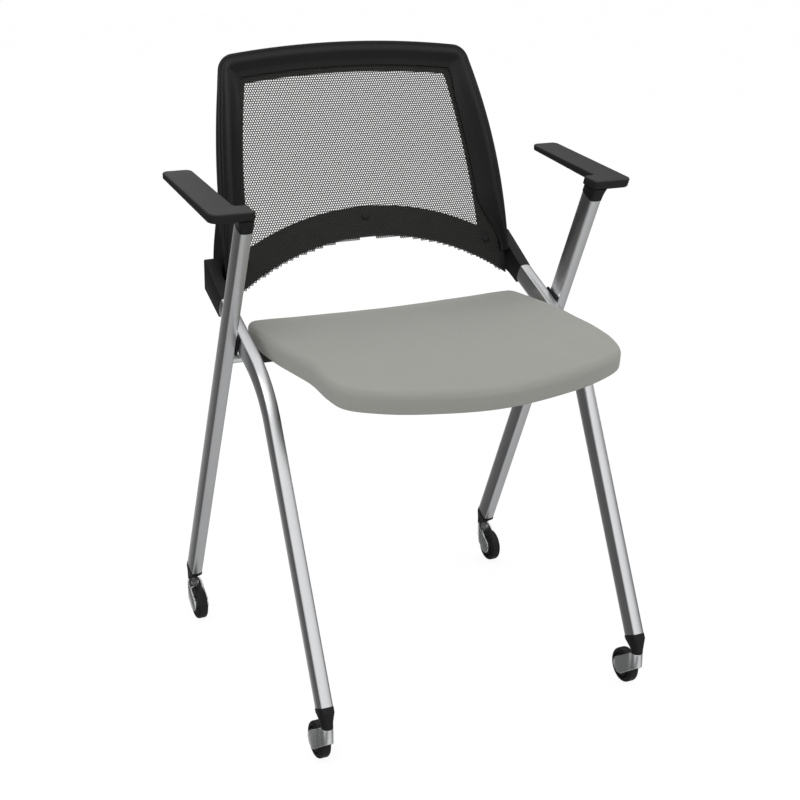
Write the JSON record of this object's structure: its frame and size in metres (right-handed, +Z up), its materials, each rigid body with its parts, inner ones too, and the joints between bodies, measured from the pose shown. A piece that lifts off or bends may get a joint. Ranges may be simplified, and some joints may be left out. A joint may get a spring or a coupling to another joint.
{
  "type": "nesting chair",
  "caption": "Nesting office chair with a flip-up upholstered seat, a net back in a black frame, crossed flat-oval tube legs, short fixed arms and swivel casters.",
  "frame": {"origin": "on the floor, under the middle of the chair's outline", "axes": "+Z up, -Y the way the chair faces, +X across it; the halves mirror each other over X = 0"},
  "size_m": [0.597, 0.5194, 0.8445],
  "materials": {
    "satin_tube": "satin silver, lightly brushed along the tube",
    "chrome": "bright polished",
    "dark_steel": "dark zinc",
    "black_plastic": "fine-grained black",
    "pad_plastic": "soft dull black",
    "net_yarn": "open knitted net",
    "seat_fabric": "close plain weave, grey green",
    "tyre_rubber": "smooth black"
  },
  "bodies": {
    "frame": {"front_leg_tube_left": "satin_tube", "arm_leg_tube_left": "satin_tube", "crossing_spacer_left": "black_plastic", "arm_socket_left": "black_plastic", "crossing_bolt_left": "dark_steel", "seat_stop_pin_left": "dark_steel", "arm_screw_left": "dark_steel", "arm_pad_left": "pad_plastic", "front_leg_tube_right": "satin_tube", "arm_leg_tube_right": "satin_tube", "crossing_spacer_right": "black_plastic", "arm_socket_right": "black_plastic", "crossing_bolt_right": "dark_steel", "seat_stop_pin_right": "dark_steel", "arm_screw_right": "dark_steel", "arm_pad_right": "pad_plastic", "seat_rod": "chrome", "back_frame": "black_plastic", "back_rim": "black_plastic", "net_button_middle": "black_plastic", "net_button_left": "black_plastic", "net_button_right": "black_plastic", "back_net": "net_yarn", "leg_plug_front_left": "black_plastic", "leg_plug_front_right": "black_plastic", "leg_plug_rear_left": "black_plastic", "leg_plug_rear_right": "black_plastic"},
    "seat": {"seat_cushion": "seat_fabric", "seat_shell": "black_plastic"},
    "swivel_front_left": {"caster_stem_front_left": "dark_steel", "caster_core_front_left": "dark_steel", "caster_fork_front_left": "chrome", "caster_axle_front_left": "dark_steel"},
    "wheel_front_left": {"caster_tyre_front_left": "tyre_rubber", "caster_hub_front_left": "black_plastic"},
    "swivel_front_right": {"caster_stem_front_right": "dark_steel", "caster_core_front_right": "dark_steel", "caster_fork_front_right": "chrome", "caster_axle_front_right": "dark_steel"},
    "wheel_front_right": {"caster_tyre_front_right": "tyre_rubber", "caster_hub_front_right": "black_plastic"},
    "swivel_rear_left": {"caster_stem_rear_left": "dark_steel", "caster_core_rear_left": "dark_steel", "caster_fork_rear_left": "chrome", "caster_axle_rear_left": "dark_steel"},
    "wheel_rear_left": {"caster_tyre_rear_left": "tyre_rubber", "caster_hub_rear_left": "black_plastic"},
    "swivel_rear_right": {"caster_stem_rear_right": "dark_steel", "caster_core_rear_right": "dark_steel", "caster_fork_rear_right": "chrome", "caster_axle_rear_right": "dark_steel"},
    "wheel_rear_right": {"caster_tyre_rear_right": "tyre_rubber", "caster_hub_rear_right": "black_plastic"}
  },
  "joints": [
    {"name": "seat_flip", "type": "hinge", "parent": "frame", "child": "seat", "pos_m": [0, 0.05533, 0.454], "axis": [-1, 0, 0], "range_deg": [0, 78]},
    {"name": "swivel_turn_front_left", "type": "hinge", "parent": "frame", "child": "swivel_front_left", "pos_m": [-0.229, -0.2385, 0.055], "axis": [0, 0, 1], "continuous": true},
    {"name": "wheel_roll_front_left", "type": "hinge", "parent": "swivel_front_left", "child": "wheel_front_left", "pos_m": [-0.229, -0.211, 0.0242], "axis": [1, 0, 0], "continuous": true},
    {"name": "swivel_turn_front_right", "type": "hinge", "parent": "frame", "child": "swivel_front_right", "pos_m": [0.229, -0.2385, 0.055], "axis": [0, 0, 1], "continuous": true},
    {"name": "wheel_roll_front_right", "type": "hinge", "parent": "swivel_front_right", "child": "wheel_front_right", "pos_m": [0.229, -0.211, 0.0242], "axis": [1, 0, 0], "continuous": true},
    {"name": "swivel_turn_rear_left", "type": "hinge", "parent": "frame", "child": "swivel_rear_left", "pos_m": [-0.2495, 0.25079, 0.055], "axis": [0, 0, 1], "continuous": true},
    {"name": "wheel_roll_rear_left", "type": "hinge", "parent": "swivel_rear_left", "child": "wheel_rear_left", "pos_m": [-0.2495, 0.22329, 0.0242], "axis": [1, 0, 0], "continuous": true},
    {"name": "swivel_turn_rear_right", "type": "hinge", "parent": "frame", "child": "swivel_rear_right", "pos_m": [0.2495, 0.25079, 0.055], "axis": [0, 0, 1], "continuous": true},
    {"name": "wheel_roll_rear_right", "type": "hinge", "parent": "swivel_rear_right", "child": "wheel_rear_right", "pos_m": [0.2495, 0.22329, 0.0242], "axis": [1, 0, 0], "continuous": true}
  ]
}
